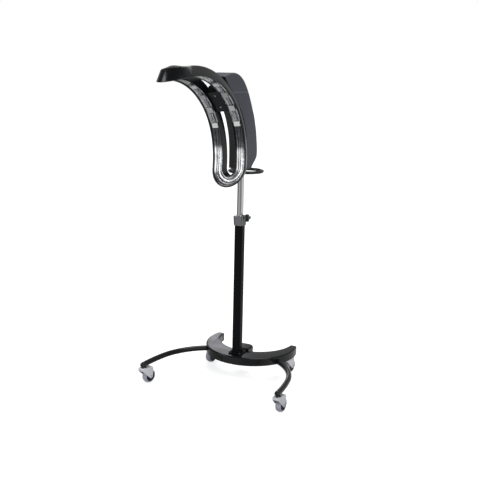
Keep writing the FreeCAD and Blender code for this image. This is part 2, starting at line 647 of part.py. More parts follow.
# ---------------------------------------------------------------- ring
def lip(along):
    """Centre line of the lip: rise, advance and slope at a distance along it."""
    steps = 60
    step = along / steps
    rise = advance = 0.0
    for i in range(steps):
        at = (i + 0.5) * step
        slope = 0.00393 * at - 2.1375e-8 * at ** 3 / 3.0
        rise += math.cos(slope) * step
        advance += math.sin(slope) * step
    return rise, advance, 0.00393 * along - 2.1375e-8 * along ** 3 / 3.0


def ring_point(across, along, depth):
    """Point of the ring's own frame, at a depth behind the lip surface."""
    rise, advance, slope = lip(along)
    return V(across, rise + depth * math.sin(slope), advance - depth * math.cos(slope))


RAIL_STEPS, TURN_STEPS = 8, 8


def loop_edge(half_width, depth, crown=0.0):
    """Closed curve round the ring at a half width and a depth, deeper by the crown at both ends."""
    centre = S["ring_half_length"] - S["lip_half_width"] - S["end_rake"] * depth / S["ring_depth"]
    points = []
    for side in (1, -1):
        for i in range(RAIL_STEPS):
            along = side * (-centre + 2 * centre * i / RAIL_STEPS)
            points.append(ring_point(side * half_width, along, depth))
        for j in range(TURN_STEPS):
            turn = math.pi * j / TURN_STEPS
            points.append(ring_point(side * half_width * math.cos(turn),
                                     side * (centre + half_width * math.sin(turn)),
                                     depth + crown * math.sin(turn) ** 2))
    curve = Part.BSplineCurve()
    curve.interpolate(points, PeriodicFlag=True)
    return curve.toShape()


def loop_solid(name, section):
    """Solid ring from a closed section of (half width, depth[, crown]) corners."""
    edges = [loop_edge(*corner) for corner in section]
    faces = [Part.makeRuledSurface(edges[i], edges[(i + 1) % len(edges)]) for i in range(len(edges))]
    solid = Part.Solid(Part.Shell(faces))
    if solid.Volume < 0:
        solid.reverse()
    obj = doc.addObject("Part::Feature", name)
    obj.Shape = solid
    obj.Placement = RING
    return obj


OUTER_CROWN, INNER_CROWN = 4.0, 10.0
SHELL_SECTION = [(84.4, 2.2), (82.0, 0), (77.8, 0), (76.2, 1.6), (76.2, 5.0), (81.0, 5.0),
                 (64.4, 40.2, OUTER_CROWN), (36.6, 40.2, INNER_CROWN), (34.3, 2.0), (33.6, 0), (32.6, 0),
                 (32.0, 1.0), (34.0, 41.2, INNER_CROWN), (35.8, 43.0, INNER_CROWN),
                 (63.5, 43.0, OUTER_CROWN), (66.7, 40.0, OUTER_CROWN)]
keep(loop_solid("shell_loop", SHELL_SECTION), "ring_shell")
FLUTES = [(79.4, 5.6), (75.0, 5.6), (71.5, 9.5), (66.0, 11.5), (62.6, 8.6), (61.3, 12.0), (48.7, 12.0),
          (47.4, 8.6), (43.5, 11.5), (39.0, 9.5), (35.8, 3.2)]
REFLECTOR_SECTION = FLUTES + [(w + 0.1, d + 1.2) for w, d in reversed(FLUTES)]
keep(loop_solid("reflector_loop", REFLECTOR_SECTION), "ring_reflector")

HEATER_AT, HEATER_DEPTH, HEATER_END = 55.0, 7.0, 96.0


def ring_seat(across, along, depth):
    """Placement on the ring: X across, Y along the rail, Z towards the client."""
    p = ring_point(across, along, depth)
    return RING * Place(p, Rot(X_AXIS, math.degrees(lip(along)[2])))


LIP_BEND = 254.5     # radius of the lip curve at the hub


def bend_point(depth, angle):
    """Point (rise, advance) near the hub, where the lip curve is a round arc."""
    return ((LIP_BEND + depth) * math.sin(angle), LIP_BEND - (LIP_BEND + depth) * math.cos(angle))


heater_angle = HEATER_END / LIP_BEND
for n, k in sides:
    low, mid, high = [V(k * HEATER_AT, *bend_point(HEATER_DEPTH, a))
                      for a in (-heater_angle, 0, heater_angle)]
    spine = doc.addObject("Part::Feature", "heater_spine_" + n)
    spine.Shape = Part.Wire([Part.Arc(low, mid, high).toShape()])
    section = doc.addObject("Part::Circle", "heater_section_" + n)
    section.setExpression("Radius", "Sizes.heater_radius")
    section.Placement = aim(V(0, math.cos(heater_angle), -math.sin(heater_angle)), low)
    heater = doc.addObject("Part::Sweep", "heater_" + n)
    heater.Sections = [section]
    heater.Spine = (spine, ["Edge1"])
    heater.Solid = True
    heater.Placement = RING
    keep(heater, "heater_" + n)

CLIP_AT = 35.0
clips, ends = [], []
for n, k in sides:
    for end in (-1, 1):
        seat = ring_seat(k * HEATER_AT, end * CLIP_AT, HEATER_DEPTH)
        plate = block("clip_plate_%s%d" % (n, end + 1), 27.0, 24.0, 7.0,
                      seat * Place(V(0, 0, -0.9), Rot()))
        hole = rod("clip_hole_%s%d" % (n, end + 1), S["heater_radius"] + GAP, 30.0,
                   seat * Place(V(0, 15, 0), Rot(X_AXIS, 90)))
        clips.append(cut("clip_%s%d" % (n, end + 1), plate, [hole]))
        seat = ring_seat(k * HEATER_AT, end * (HEATER_END + 10.3), HEATER_DEPTH)
        ends.append(block("end_%s%d" % (n, end + 1), 27.0, 20.0, 7.0, seat * Place(V(0, 0, -0.9), Rot())))
keep(group("tube_clips", clips), "tube_clips")
keep(group("heater_ends", ends), "heater_ends")

# Hub flange across the back of the ring, its boss and the drive shaft.
near_d, far_d = S["ring_depth"] + GAP, S["ring_depth"] + 6.5
BRIDGE_DEPTH, BRIDGE_HALF = 9.0, 50.0


def arched_pad(name, near_depth, far_depth, half_length, width):
    """Plate that follows the lip's arc between two depths, laid across the ring."""
    turn = half_length / LIP_BEND
    body = new_body(name)
    sketch = new_sketch(body, "YZ_Plane")
    outline(sketch, [bend_point(near_depth, -turn),
                     bend_point(near_depth, 0) + bend_point(near_depth, turn),
                     bend_point(far_depth, turn),
                     bend_point(far_depth, 0) + bend_point(far_depth, -turn)])
    feature(body, "Pad", sketch, width, True)
    body.Placement = RING
    return body


flange = arched_pad("flange", near_d, far_d, 42.0, 116.0)
bridge = arched_pad("bridge", BRIDGE_DEPTH, far_d - 1.0, BRIDGE_HALF, 2 * (S["opening_half"] - 0.5))
boss = rod("boss", 15.0, 11.0, RING * Place(V(0, 0, -58.5), Rot()))
solid_flange = fuse("flange_boss", [flange, bridge, boss])
flange_bore = rod("flange_bore", S["shaft_radius"] + FIT, 30.0, RING * Place(V(0, 0, -65), Rot()))
spots = [(sx * 49.5, sy * 30.0) for sx in (-1, 1) for sy in (-1, 1)]
hub_holes, hub_screws = [], []
for i, (x, along) in enumerate(spots):
    seat = ring_seat(x, along, S["ring_depth"])
    hub_holes.append(rod("hub_hole%d" % i, 2.4, 20.0, seat * Place(V(0, 0, -12), Rot())))
    hub_screws.append(turned("hub_screw%d" % i, [(0, -9.6), (3.2, -9.4), (4.2, -8.6), (4.2, -7.0),
                                                 (2.0, -7.0), (2.0, 6.0), (0, 6.0)], seat))
for i, along in enumerate((-29.0, 29.0)):
    seat = ring_seat(0.0, along, BRIDGE_DEPTH)
    hub_holes.append(rod("bridge_hole%d" % i, 2.4, 12.0, seat * Place(V(0, 0, -10), Rot())))
    hub_screws.append(turned("bridge_screw%d" % i, [(0, -8.0), (2.0, -8.0), (2.0, 0.3), (4.2, 0.3),
                                                    (4.2, 1.5), (3.0, 2.7), (0, 2.7)], seat))
keep(cut("flange_cut", solid_flange, [flange_bore] + hub_holes), "hub_flange")
keep(group("hub_screws", hub_screws), "hub_screws")
shaft_at = RING * Place(V(0, 0, -130), Rot())
keep(rod("shaft", "Sizes.shaft_radius", "Sizes.shaft_length", shaft_at), "drive_shaft")
keep(tube("slip", S["shaft_radius"] + FIT, 15.0, -127.0, -115.0, RING), "slip_ring")

# ---------------------------------------------------------------- check and export
doc.recompute()
for obj in doc.Objects:
    if "Invalid" in obj.State or "Error" in obj.State:
        raise RuntimeError("%s: %s" % (obj.Name, obj.State))
os.makedirs("parts", exist_ok=True)
for obj in PARTS:
    shape = obj.Shape
    if shape.isNull() or not shape.Solids:
        raise RuntimeError(obj.Label + " has no solid")
    if not shape.isValid():
        raise RuntimeError(obj.Label + " is not valid")
    shape.exportStep("parts/" + obj.Label + ".step")
print("%d parts" % len(PARTS))
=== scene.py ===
import json
import math

import bmesh
import bpy
from mathutils import Matrix, Vector

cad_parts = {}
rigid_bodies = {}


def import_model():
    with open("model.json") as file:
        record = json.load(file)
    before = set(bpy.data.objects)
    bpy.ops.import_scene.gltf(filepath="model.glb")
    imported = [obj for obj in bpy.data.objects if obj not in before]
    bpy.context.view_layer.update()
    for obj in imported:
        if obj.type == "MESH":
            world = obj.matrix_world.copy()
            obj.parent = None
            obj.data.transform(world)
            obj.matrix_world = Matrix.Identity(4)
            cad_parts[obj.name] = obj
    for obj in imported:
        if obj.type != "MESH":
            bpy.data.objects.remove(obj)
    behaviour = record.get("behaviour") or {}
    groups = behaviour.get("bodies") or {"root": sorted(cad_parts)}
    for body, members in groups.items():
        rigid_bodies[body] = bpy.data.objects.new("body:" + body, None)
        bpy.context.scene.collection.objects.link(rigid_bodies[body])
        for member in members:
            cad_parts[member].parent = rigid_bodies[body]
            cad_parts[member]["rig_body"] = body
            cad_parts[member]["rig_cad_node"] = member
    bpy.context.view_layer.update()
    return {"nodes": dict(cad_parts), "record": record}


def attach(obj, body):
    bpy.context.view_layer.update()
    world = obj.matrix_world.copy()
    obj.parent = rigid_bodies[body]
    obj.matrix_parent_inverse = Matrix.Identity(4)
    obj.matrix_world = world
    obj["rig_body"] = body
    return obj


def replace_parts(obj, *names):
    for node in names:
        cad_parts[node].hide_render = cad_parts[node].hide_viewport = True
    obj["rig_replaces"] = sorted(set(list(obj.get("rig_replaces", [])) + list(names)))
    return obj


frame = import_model()

bl_info = {
    "name": "Hair color processor dressing",
    "version": (1, 0, 0),
    "blender": (4, 5, 0),
    "location": "View3D > Sidebar > Processor",
    "description": "Dresses the packed hair color processor and sets its studio",
    "category": "Object",
}

MM = 0.001
BODY_OF = {o["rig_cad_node"]: o["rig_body"] for o in frame["nodes"].values()}
CORNERS = ("front_right", "front_left", "rear_right", "rear_left")


# ---------------------------------------------------------------- settings
class RingSizes(bpy.types.PropertyGroup):
    """Sizes of the heater ring."""

    half_length: bpy.props.FloatProperty(
        name="Half length", description="From the hub to the end of the lip, along the curve",
        default=0.376, unit="LENGTH")
    lip_half: bpy.props.FloatProperty(
        name="Lip half width", description="Half the width over the lip", default=0.0844, unit="LENGTH")
    depth: bpy.props.FloatProperty(
        name="Depth", description="From the lip to the back of the ring", default=0.043, unit="LENGTH")
    end_rake: bpy.props.FloatProperty(
        name="End rake", description="How far the back stops short of the lip at the ends",
        default=0.012, unit="LENGTH")
    hub_forward: bpy.props.FloatProperty(
        name="Hub forward", description="Hub of the lip in front of the mast", default=0.2389, unit="LENGTH")
    hub_height: bpy.props.FloatProperty(
        name="Hub height", description="Hub of the lip above the floor", default=1.2936, unit="LENGTH")
    tilt: bpy.props.FloatProperty(
        name="Hub tilt", description="Hub axis below the horizon", default=math.radians(39.4),
        subtype="ANGLE")
    turn: bpy.props.FloatProperty(
        name="Ring turn", description="Ring turned about its hub at rest", default=math.radians(8.5),
        subtype="ANGLE")
    lip_bend: bpy.props.FloatProperty(
        name="Lip bend", description="Radius of the lip curve at the hub", default=0.2545, unit="LENGTH")
    heater_depth: bpy.props.FloatProperty(
        name="Heater depth", description="Middle of the heater tube behind the lip", default=0.007,
        unit="LENGTH")
    heater_end: bpy.props.FloatProperty(
        name="Heater end", description="From the hub to the end of the tube, along the lip", default=0.096,
        unit="LENGTH")
    heater_radius: bpy.props.FloatProperty(
        name="Heater radius", description="Outside of the quartz tube", default=0.004, unit="LENGTH")
    heater_at: bpy.props.FloatProperty(
        name="Heater offset", description="Heater tube from the ring's middle line", default=0.055,
        unit="LENGTH")


class Finishes(bpy.types.PropertyGroup):
    """Colours of the main finishes."""

    slate: bpy.props.FloatVectorProperty(
        name="Slate", description="Head housing", default=(0.056, 0.059, 0.073), size=3, subtype="COLOR")
    black: bpy.props.FloatVectorProperty(
        name="Black", description="Enamel and gloss mouldings", default=(0.0045, 0.0048, 0.0054), size=3,
        subtype="COLOR")
    chrome: bpy.props.FloatVectorProperty(
        name="Chrome", description="Bright plating", default=(0.80, 0.81, 0.83), size=3, subtype="COLOR")
    tread: bpy.props.FloatVectorProperty(
        name="Tread", description="Caster treads", default=(0.42, 0.42, 0.49), size=3, subtype="COLOR")


class StageSizes(bpy.types.PropertyGroup):
    """Camera and light of the studio."""

    distance: bpy.props.FloatProperty(
        name="Distance", description="Camera from the column, along the floor", default=3.44377,
        unit="LENGTH")
    height: bpy.props.FloatProperty(
        name="Height", description="Camera above the floor", default=1.39856, unit="LENGTH")
    azimuth: bpy.props.FloatProperty(
        name="Azimuth", description="Camera round the object", default=0.4525, subtype="ANGLE")
    pitch: bpy.props.FloatProperty(
        name="Pitch", description="Camera below the horizon", default=0.2092, subtype="ANGLE")
    roll: bpy.props.FloatProperty(
        name="Roll", description="Camera about its own axis", default=0.0218, subtype="ANGLE")
    lens: bpy.props.FloatProperty(
        name="Lens", description="Focal length in millimetres on a 36 mm width", default=57.54)


def ring_sizes():
    """Sizes of the heater ring, as the user has set them."""
    return bpy.context.scene.processor_ring


def finishes():
    """Main colours, as the user has set them."""
    return bpy.context.scene.processor_finish


# ---------------------------------------------------------------- node helpers
def feed(tree, socket, value):
    """Link another socket into this one, or set its number or colour."""
    if isinstance(value, bpy.types.NodeSocket):
        tree.links.new(value, socket)
    else:
        socket.default_value = value


def computed(tree, operation, first, second):
    """Result of a Math node on two sockets or numbers."""
    node = tree.nodes.new("ShaderNodeMath")
    node.operation = operation
    feed(tree, node.inputs[0], first)
    feed(tree, node.inputs[1], second)
    return node.outputs[0]


def mapped(tree, value, start=(0.0, 1.0), result=(0.0, 1.0), smooth=False):
    """A value carried from one range to another and held at its ends."""
    ramp = tree.nodes.new("ShaderNodeMapRange")
    if smooth:
        ramp.interpolation_type = "SMOOTHSTEP"
    for label, limit in zip(("From Min", "From Max", "To Min", "To Max"), (*start, *result)):
        feed(tree, ramp.inputs[label], limit)
    tree.links.new(value, ramp.inputs["Value"])
    return ramp.outputs["Result"]


def mixed(tree, factor, first, second, blend="MIX"):
    """Colour mixed from two by a factor."""
    mix = tree.nodes.new("ShaderNodeMix")
    mix.data_type = "RGBA"
    mix.blend_type = blend
    feed(tree, mix.inputs["Factor"], factor)
    feed(tree, mix.inputs["A"], first)
    feed(tree, mix.inputs["B"], second)
    return mix.outputs["Result"]


def noise_at(tree, vector, **settings):
    """Factor of a Noise texture at a vector."""
    noise = tree.nodes.new("ShaderNodeTexNoise")
    tree.links.new(vector, noise.inputs["Vector"])
    for label, value in settings.items():
        feed(tree, noise.inputs[label], value)
    return noise.outputs["Fac"]


def rgba(colour):
    """A colour with full alpha, as sockets take it."""
    return (*colour, 1.0)


def scaled(colour, factor):
    """A colour made lighter or darker, no lighter than white."""
    return tuple(min(1.0, c * factor) for c in colour)


# ---------------------------------------------------------------- shader groups
RUB_FINENESS = 7.0               # scale of the rubbed marks over that of the smudges
SMUDGE_RANGE = (0.42, 0.72)      # noise at which a smudge starts and is full
RUB_RANGE = (0.58, 0.74)         # the same for a rubbed mark


def group_tree(name, inputs, outputs):
    """An empty shader node group with its named inputs and outputs."""
    tree = bpy.data.node_groups.new(name, "ShaderNodeTree")
    for label, kind, value in inputs:
        socket = tree.interface.new_socket(name=label, in_out="INPUT", socket_type=kind)
        if value is not None:
            socket.default_value = value
    for label in outputs:
        tree.interface.new_socket(name=label, in_out="OUTPUT", socket_type="NodeSocketFloat")
    return tree, tree.nodes.new("NodeGroupInput"), tree.nodes.new("NodeGroupOutput")


def build_grain(name):
    """Fine moulding or casting grain, as a height."""
    tree, enter, leave = group_tree(
        name, [("Vector", "NodeSocketVector", None), ("Scale", "NodeSocketFloat", 900.0),
               ("Detail", "NodeSocketFloat", 3.0)], ["Height"])
    vector, scale = enter.outputs["Vector"], enter.outputs["Scale"]
    cells = tree.nodes.new("ShaderNodeTexVoronoi")
    tree.links.new(vector, cells.inputs["Vector"])
    tree.links.new(scale, cells.inputs["Scale"])
    noise = noise_at(tree, vector, Scale=scale, Detail=enter.outputs["Detail"])
    tree.links.new(computed(tree, "MULTIPLY", noise, cells.outputs["Distance"]), leave.inputs["Height"])
    return tree


def build_handling(name):
    """Broad smudges and fine rubbed marks: two masks from 0 to 1."""
    tree, enter, leave = group_tree(
        name, [("Vector", "NodeSocketVector", None), ("Scale", "NodeSocketFloat", 14.0)],
        ["Smudge", "Rub"])
    vector, scale = enter.outputs["Vector"], enter.outputs["Scale"]
    broad = noise_at(tree, vector, Scale=scale, Detail=4.0)
    fine = noise_at(tree, vector, Scale=computed(tree, "MULTIPLY", scale, RUB_FINENESS), Detail=8.0,
                    Roughness=0.75)
    tree.links.new(mapped(tree, broad, SMUDGE_RANGE), leave.inputs["Smudge"])
    tree.links.new(mapped(tree, fine, RUB_RANGE), leave.inputs["Rub"])
    return tree


def build_polishing(name):
    """Fine polishing marks as a height: noise drawn out along the axes."""
    tree, enter, leave = group_tree(
        name, [("Vector", "NodeSocketVector", None), ("Stretch", "NodeSocketVector", (40.0, 40.0, 900.0))],
        ["Height"])
    pull = tree.nodes.new("ShaderNodeVectorMath")
    pull.operation = "MULTIPLY"
    tree.links.new(enter.outputs["Vector"], pull.inputs[0])
    tree.links.new(enter.outputs["Stretch"], pull.inputs[1])
    tree.links.new(noise_at(tree, pull.outputs[0], Scale=1.0, Detail=3.0), leave.inputs["Height"])
    return tree


def build_height_band(name):
    """Mask that is 1 between two heights and fades inside them over a soft edge."""
    tree, enter, leave = group_tree(
        name, [("Vector", "NodeSocketVector", None), ("Low", "NodeSocketFloat", 1.0),
               ("High", "NodeSocketFloat", 1.3), ("Soft", "NodeSocketFloat", 0.05)], ["Mask"])
    split = tree.nodes.new("ShaderNodeSeparateXYZ")
    tree.links.new(enter.outputs["Vector"], split.inputs[0])
    edges = []
    for edge, inward in (("Low", 1.0), ("High", -1.0)):
        above = computed(tree, "SUBTRACT", split.outputs["Z"], enter.outputs[edge])
        inside = computed(tree, "MULTIPLY", above, inward)
        edges.append(mapped(tree, inside, (0.0, enter.outputs["Soft"]), smooth=True))
    tree.links.new(computed(tree, "MULTIPLY", *edges), leave.inputs["Mask"])
    return tree


GROUPS = {"moulding_grain": build_grain, "handling_marks": build_handling,
          "polishing_lines": build_polishing, "height_band": build_height_band}


def place_group(tree, name, vector, **values):
    """A shared group placed in a material with its own values, built the first time it is asked for."""
    node = tree.nodes.new("ShaderNodeGroup")
    node.node_tree = bpy.data.node_groups.get(name) or GROUPS[name](name)
    tree.links.new(vector, node.inputs["Vector"])
    for label, value in values.items():
        node.inputs[label].default_value = value
    return node


# ---------------------------------------------------------------- materials
PEEL_DEPTH, GRAIN_DEPTH, LINE_DEPTH = 0.0004, 0.0005, 0.0003     # bump distances, in metres
SLATE_ROUGH, SLATE_SHINE = 0.44, 0.18
PAINTED_LINE_LOW, PAINTED_LINE_HIGH, PAINTED_LINE_SOFT = 1.3362, 1.3384, 0.0008     # painted highlight line on the hood, at rest
PAINTED_LINE_LIFT = 3.2                # how much lighter the painted highlight line is than the slate
HEAT_AND_SHADE_LOW, HEAT_AND_SHADE_HIGH, HEAT_AND_SHADE_SOFT = 1.092, 1.215, 0.022     # stretch of the sheet darkened at rest heights: heat tint and painted dark reflection
HEAT_AND_SHADE_TINT = (0.16, 0.165, 0.17)
# colour of the sheet facing the eye, its painted dark reflection at grazing angles, and the blend between
# them
SHEET_FACE, SHEET_PAINTED_EDGE, SHEET_BLEND = (0.92, 0.93, 0.95), (0.12, 0.125, 0.135), 0.58


def material(name):
    """A new material with its tree, its Principled shader and object coordinates."""
    made = bpy.data.materials.new(name)
    made.use_nodes = True
    tree = made.node_tree
    coords = tree.nodes.new("ShaderNodeTexCoord")
    return made, tree, tree.nodes["Principled BSDF"], coords.outputs["Object"]


def colour_between(tree, mask, low, high, socket):
    """Feed a socket a colour that varies between two colours by a mask."""
    tree.links.new(mixed(tree, mask, rgba(low), rgba(high)), socket)


def value_between(tree, mask, low, high, socket):
    """Feed a socket a value that varies between two numbers by a mask."""
    tree.links.new(mapped(tree, mask, result=(low, high)), socket)


def darkened_by(tree, colour, mask, least, socket):
    """Feed a socket a colour that a mask darkens, down to the least share of it."""
    share = mapped(tree, mask, result=(1.0, least))
    tree.links.new(mixed(tree, 1.0, colour, share, "MULTIPLY"), socket)


def bump_from(tree, height, strength, distance, shader):
    """Feed a shader's normal from a height."""
    bump = tree.nodes.new("ShaderNodeBump")
    bump.inputs["Strength"].default_value = strength
    bump.inputs["Distance"].default_value = distance
    tree.links.new(height, bump.inputs["Height"])
    tree.links.new(bump.outputs["Normal"], shader.inputs["Normal"])


def gloss_finish(name, colour, rough, rubbed, coat=0.0, shine=0.28):
    """Gloss enamel or moulding with faint smudges, rubbed spots and orange peel."""
    made, tree, shader, at = material(name)
    marks = place_group(tree, "handling_marks", at, Scale=11.0)
    peel = place_group(tree, "moulding_grain", at, Scale=500.0)
    colour_between(tree, marks.outputs["Rub"], colour, rubbed, shader.inputs["Base Color"])
    value_between(tree, marks.outputs["Smudge"], rough, rough + 0.10, shader.inputs["Roughness"])
    shader.inputs["Specular IOR Level"].default_value = shine
    shader.inputs["Coat Weight"].default_value = coat
    shader.inputs["Coat Roughness"].default_value = 0.05
    bump_from(tree, peel.outputs["Height"], 0.012, PEEL_DEPTH, shader)
    return made


def satin_finish(name, colour, rough, grain_scale=1400.0, grain=0.12, shine=0.3):
    """Satin moulding with a fine even grain and a little sheen on worn spots."""
    made, tree, shader, at = material(name)
    marks = place_group(tree, "handling_marks", at, Scale=8.0)
    grains = place_group(tree, "moulding_grain", at, Scale=grain_scale)
    colour_between(tree, marks.outputs["Smudge"], scaled(colour, 0.92), scaled(colour, 1.12),
                   shader.inputs["Base Color"])
    value_between(tree, marks.outputs["Rub"], rough, rough - 0.09, shader.inputs["Roughness"])
    shader.inputs["Specular IOR Level"].default_value = shine
    bump_from(tree, grains.outputs["Height"], grain, GRAIN_DEPTH, shader)
    return made


def hood_finish(name, colour):
    """Slate moulding with a painted highlight line at the level of the rear cover's top."""
    made = satin_finish(name, colour, SLATE_ROUGH, shine=SLATE_SHINE)
    tree = made.node_tree
    base = tree.nodes["Principled BSDF"].inputs["Base Color"]
    plain = base.links[0].from_socket
    line = place_group(tree, "height_band", tree.nodes["Texture Coordinate"].outputs["Object"],
                       Low=PAINTED_LINE_LOW, High=PAINTED_LINE_HIGH, Soft=PAINTED_LINE_SOFT)
    # painted highlight: the slate made lighter along the line
    rubbed = rgba(scaled(colour, PAINTED_LINE_LIFT))
    tree.links.new(mixed(tree, line.outputs["Mask"], plain, rubbed), base)
    return made


def painted_edge_reflection(tree, face, edge, blend):
    """Painted reflection colour of plating: darker where the surface turns away from the eye, a painted dark
    reflection of the room.
    """
    facing = tree.nodes.new("ShaderNodeLayerWeight")
    facing.inputs["Blend"].default_value = blend
    return mixed(tree, facing.outputs["Facing"], rgba(face), rgba(edge))


def metal_finish(name, colour, rough, lines=0.03, dark=0.45, blend=0.5, metallic=1.0):
    """Plated or machined metal with drawn lines, thin haze and a painted dark reflection towards grazing
    angles.
    """
    made, tree, shader, at = material(name)
    marks = place_group(tree, "handling_marks", at, Scale=16.0)
    drawn = place_group(tree, "polishing_lines", at, Stretch=(60.0, 60.0, 900.0))
    shader.inputs["Metallic"].default_value = metallic
    # painted dark reflection: the colour darkens where the surface turns away from the eye
    tint = painted_edge_reflection(tree, colour, scaled(colour, dark), blend)
    darkened_by(tree, tint, marks.outputs["Rub"], 0.82, shader.inputs["Base Color"])
    value_between(tree, marks.outputs["Smudge"], rough, rough + 0.08, shader.inputs["Roughness"])
    bump_from(tree, drawn.outputs["Height"], lines, LINE_DEPTH, shader)
    return made


def reflector_finish(name):
    """Bright sheet with a band below the heater tubes darkened by heat tint and painted dark reflection,
    painted dark reflections at grazing angles, and blotched with handling.
    """
    made, tree, shader, at = material(name)
    marks = place_group(tree, "handling_marks", at, Scale=42.0)
    heat_and_shade = place_group(tree, "height_band", at, Low=HEAT_AND_SHADE_LOW, High=HEAT_AND_SHADE_HIGH, Soft=HEAT_AND_SHADE_SOFT)
    pits = place_group(tree, "polishing_lines", at, Stretch=(420.0, 420.0, 420.0))
    shader.inputs["Metallic"].default_value = 1.0
    # painted dark reflection: the sheet darkens towards grazing angles
    tint = painted_edge_reflection(tree, SHEET_FACE, SHEET_PAINTED_EDGE, SHEET_BLEND)
    # painted dark band: heat tint and painted dark reflection at fixed heights of the ring at rest
    heated_and_shaded = mixed(tree, heat_and_shade.outputs["Mask"], tint, rgba(HEAT_AND_SHADE_TINT), "MULTIPLY")
    darkened_by(tree, heated_and_shaded, marks.outputs["Smudge"], 0.45, shader.inputs["Base Color"])
    value_between(tree, marks.outputs["Rub"], 0.27, 0.40, shader.inputs["Roughness"])
    bump_from(tree, pits.outputs["Height"], 0.05, GRAIN_DEPTH, shader)
    return made


def quartz_finish(name):
    """Clear quartz with a haze on it."""
    made, tree, shader, at = material(name)
    haze = place_group(tree, "handling_marks", at, Scale=60.0)
    shader.inputs["Transmission Weight"].default_value = 0.85
    shader.inputs["IOR"].default_value = 1.46
    colour_between(tree, haze.outputs["Smudge"], (0.93, 0.94, 0.95), (0.80, 0.82, 0.84),
                   shader.inputs["Base Color"])
    value_between(tree, haze.outputs["Smudge"], 0.05, 0.28, shader.inputs["Roughness"])
    return made


def tread_finish(name, colour):
    """Grey caster tread, scuffed, with a little light going into it."""
    made, tree, shader, at = material(name)
    marks = place_group(tree, "handling_marks", at, Scale=30.0)
    grains = place_group(tree, "moulding_grain", at, Scale=1100.0)
    colour_between(tree, marks.outputs["Rub"], colour, scaled(colour, 0.7), shader.inputs["Base Color"])
    value_between(tree, marks.outputs["Smudge"], 0.32, 0.55, shader.inputs["Roughness"])
    shader.inputs["Subsurface Weight"].default_value = 0.25
    shader.inputs["Subsurface Radius"].default_value = (0.004, 0.004, 0.005)
    bump_from(tree, grains.outputs["Height"], 0.15, PEEL_DEPTH, shader)
    return made


def build_finishes():
    """Every finish of the object: by the record's slot name, and by its own where FINISH_OF asks for it."""
    tint = finishes()
    black, chrome, slate = tuple(tint.black), tuple(tint.chrome), tuple(tint.slate)
    return {
        "black_paint": gloss_finish(
            "black_enamel", scaled(black, 1.3), rough=0.16, rubbed=scaled(black, 2.6), shine=0.32),
        "column_powder": gloss_finish(
            "column_powder", scaled(black, 1.3), rough=0.30, rubbed=scaled(black, 2.2), shine=0.05),
        "gloss_black": gloss_finish(
            "black_moulding", scaled(black, 1.4), rough=0.20, rubbed=scaled(black, 3.0), shine=0.5),
        "black_plastic": gloss_finish(
            "caster_core", scaled(black, 2.2), rough=0.34, rubbed=scaled(black, 4.0), shine=0.25),
        "display": gloss_finish(
            "display_window", (0.004, 0.006, 0.008), rough=0.08, rubbed=(0.01, 0.012, 0.014), coat=0.5),
        "chrome": metal_finish("bright_chrome", chrome, rough=0.07),
        # painted dark reflection: chrome made darker, and much darker towards grazing angles, for the clamp
        # collar
        "collar_plate_painted_reflection": metal_finish(
            "collar_plate_painted_reflection", scaled(chrome, 0.42), rough=0.12, lines=0.06, dark=0.08, blend=0.74),
        "zinc_plate": metal_finish("zinc_plate", (0.93, 0.93, 0.96), rough=0.24, dark=0.5, metallic=0.4),
        "blackened_steel": metal_finish("blackened_steel", (0.10, 0.10, 0.105), rough=0.34),
        "clip_steel": metal_finish("clip_steel", (0.82, 0.82, 0.84), rough=0.24),
        "drive_steel": metal_finish("machined_steel", (0.45, 0.45, 0.47), rough=0.32),
        "coil_wire": metal_finish("coil_wire", (0.42, 0.40, 0.38), rough=0.3),
        "brass": metal_finish("turned_brass", (0.62, 0.45, 0.20), rough=0.25),
        "cast_black": satin_finish("cast_black", scaled(black, 1.6), rough=0.42),
        "slate_plastic": satin_finish("slate_moulding", slate, rough=SLATE_ROUGH, shine=SLATE_SHINE),
        "button_plastic": satin_finish("key_plastic", (0.20, 0.20, 0.21), rough=0.5),
        "ceramic": satin_finish(
            "white_ceramic", (0.78, 0.78, 0.77), rough=0.4, grain_scale=700.0, grain=0.2),
        "board": satin_finish("circuit_laminate", (0.02, 0.09, 0.035), rough=0.5),
        "hood_plastic": hood_finish("hood_moulding", slate),
        "reflector": reflector_finish("reflector_sheet"),
        "quartz": quartz_finish("quartz_tube"),
        "caster_tyre": tread_finish("grey_tread", tuple(tint.tread)),
    }


FINISH = {}
FINISH_OF = {"column_tube": "column_powder", "column_foot": "column_powder", "foot_bolts": "blackened_steel",
             "hub_screws": "drive_steel", "cover_screws": "drive_steel", "clamp_collar": "collar_plate_painted_reflection",
             "housing_shell": "hood_plastic"}
FINISH_OF.update({"fork_" + corner: "zinc_plate" for corner in CORNERS})


# ---------------------------------------------------------------- mesh helpers
WELD, CAD_WELD = 1e-6, 2e-6              # points this close are one, in metres
CAD_FLAT = math.radians(0.6)             # facets of a CAD node this close to flat are joined
CAD_CREASE = math.radians(28)            # edges of a CAD node sharper than this are shaded as edges
SOFT_EDGE = math.radians(40)             # edges sharper than this are softened
SOFT_WIDTH = 0.0005                      # width of a softened edge, in metres
CORNER_SHARE = 0.42                      # most of a side that the curve at its corner may take


def in_scene(name, data):
    """A new object of the scene that holds a mesh, a lamp or a camera."""
    made = bpy.data.objects.new(name, data)
    bpy.context.scene.collection.objects.link(made)
    return made


def object_from(name, points, faces, finish, sharp=math.radians(35)):
    """A smooth-shaded mesh object at the origin from points and faces in metres."""
    mesh = bpy.data.meshes.new(name)
    mesh.from_pydata([tuple(p) for p in points], [], faces)
    mesh.validate()
    work = bmesh.new()
    work.from_mesh(mesh)
    bmesh.ops.remove_doubles(work, verts=work.verts, dist=WELD)
    bmesh.ops.recalc_face_normals(work, faces=work.faces)
    work.to_mesh(mesh)
    work.free()
    mesh.shade_smooth()
    mesh.set_sharp_from_angle(angle=sharp)
    mesh.materials.append(finish)
    return in_scene(name, mesh)


